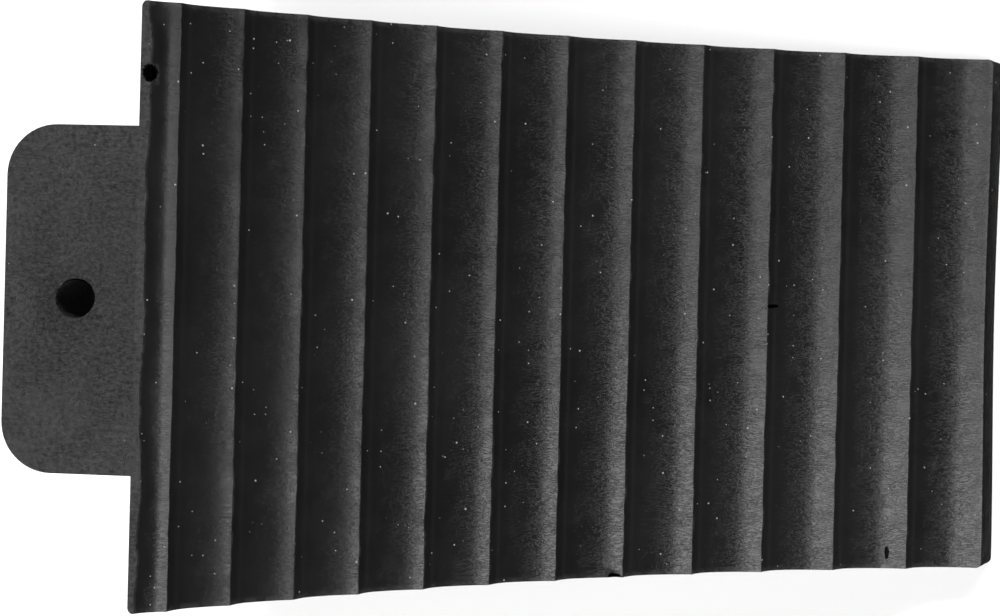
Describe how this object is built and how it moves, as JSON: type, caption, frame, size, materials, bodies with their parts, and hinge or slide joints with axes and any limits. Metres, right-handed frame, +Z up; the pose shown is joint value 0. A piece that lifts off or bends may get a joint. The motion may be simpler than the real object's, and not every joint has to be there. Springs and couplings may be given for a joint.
{
  "type": "wheel chock",
  "caption": "Moulded rubber wheel chock: a wedge with a hollow scalloped tread, and a handle tab with an eyelet at the back of its crest.",
  "frame": {"origin": "middle of the base face of the wedge, on the ground", "axes": "+X towards the toe, +Y across the tyre, +Z up"},
  "size_m": [0.3555, 0.203, 0.15],
  "materials": {
    "block_rubber": "matt black rubber with a leathery moulded grain",
    "facing_rubber": "semi-gloss black rubber, finely wrinkled on the tread"
  },
  "bodies": {
    "root": {"rubber_block": "block_rubber", "ribbed_facing": "facing_rubber"}
  },
  "joints": []
}
